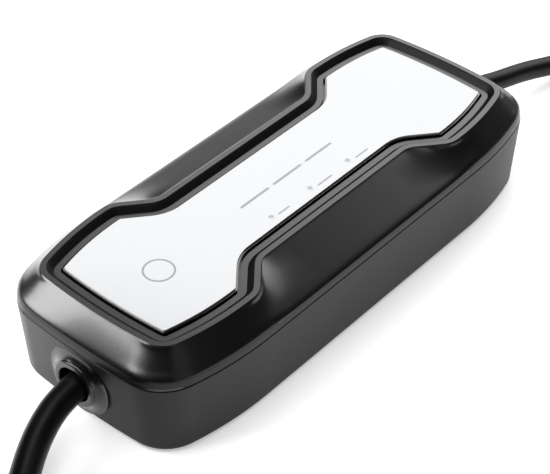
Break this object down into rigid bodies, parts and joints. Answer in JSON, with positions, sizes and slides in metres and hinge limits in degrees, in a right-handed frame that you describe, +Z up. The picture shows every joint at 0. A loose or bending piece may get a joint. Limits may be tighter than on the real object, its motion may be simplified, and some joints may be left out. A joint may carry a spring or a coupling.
{
  "type": "portable electric vehicle charger",
  "caption": "Flat control box of a portable car charger, with a scooped front plate, a gland at each end, a car cord ending in a connector and a supply cord ending in a plug.",
  "frame": {"origin": "middle of the box's underside", "axes": "+Z up out of the front plate, +X along the box from the car cord to the supply cord"},
  "size_m": [0.8609, 0.1199, 0.0912],
  "materials": {
    "lower_case": "matte, fine spark texture",
    "upper_case": "satin to gloss black",
    "plate_carrier": "gloss black",
    "front_plate": "gloss white",
    "soft_seal": "soft, matte",
    "light_pipe": "clear, frosted end",
    "gland": "matte black",
    "cord_jacket": "matte black",
    "screw_steel": "zinc plated",
    "insert_brass": "turned",
    "board": "green solder mask",
    "terminal": "moulded green",
    "core_sleeve": "coloured insulation",
    "relay": "moulded black",
    "sensor": "moulded blue",
    "transformer": "varnished iron and tape",
    "capacitor": "sleeved can",
    "film_capacitor": "moulded yellow",
    "choke": "enamelled copper on iron powder",
    "varistor": "dipped blue",
    "fuse": "glass tube",
    "clip_metal": "tinned spring bronze",
    "chip": "moulded black",
    "ribbon": "grey",
    "lamp": "clear resin",
    "clamp": "moulded black nylon",
    "tie": "woven hook and loop",
    "connector": "matte black",
    "contact": "silver plated",
    "plug": "matte black"
  },
  "bodies": {
    "root": {"board_screws": "screw_steel", "car_conductors": "core_sleeve", "car_cord": "cord_jacket", "car_cord_clamp": "clamp", "car_cord_gland": "gland", "car_cord_hank": "cord_jacket", "car_cord_tail": "cord_jacket", "car_terminals": "terminal", "case_screws": "screw_steel", "case_seal": "soft_seal", "choke": "choke", "clamp_screws": "screw_steel", "connector_boot": "gland", "connector_contacts": "contact", "connector_shroud": "connector", "contact_holder": "connector", "controller_chip": "chip", "cord_ties": "tie", "current_sensor": "sensor", "earth_clips": "contact", "filter_capacitors": "film_capacitor", "front_plate": "front_plate", "fuse": "fuse", "fuse_clips": "clip_metal", "handle_left_half": "connector", "handle_right_half": "connector", "handle_screws": "screw_steel", "indicator_board": "board", "indicator_lights": "lamp", "light_pipe_left": "light_pipe", "light_pipe_middle": "light_pipe", "light_pipe_right": "light_pipe", "line_relay": "relay", "link_header": "relay", "link_ribbon": "ribbon", "lower_case": "lower_case", "main_board": "board", "neutral_relay": "relay", "plate_carrier": "plate_carrier", "plug_body": "plug", "plug_pins": "contact", "sensor_bridges": "core_sleeve", "smoothing_capacitor": "capacitor", "supply_conductors": "core_sleeve", "supply_cord": "cord_jacket", "supply_cord_clamp": "clamp", "supply_cord_coil": "cord_jacket", "supply_cord_gland": "gland", "supply_cord_tail": "cord_jacket", "supply_terminals": "terminal", "threaded_inserts": "insert_brass", "transformer": "transformer", "upper_case": "upper_case", "varistor": "varistor"}
  },
  "joints": []
}
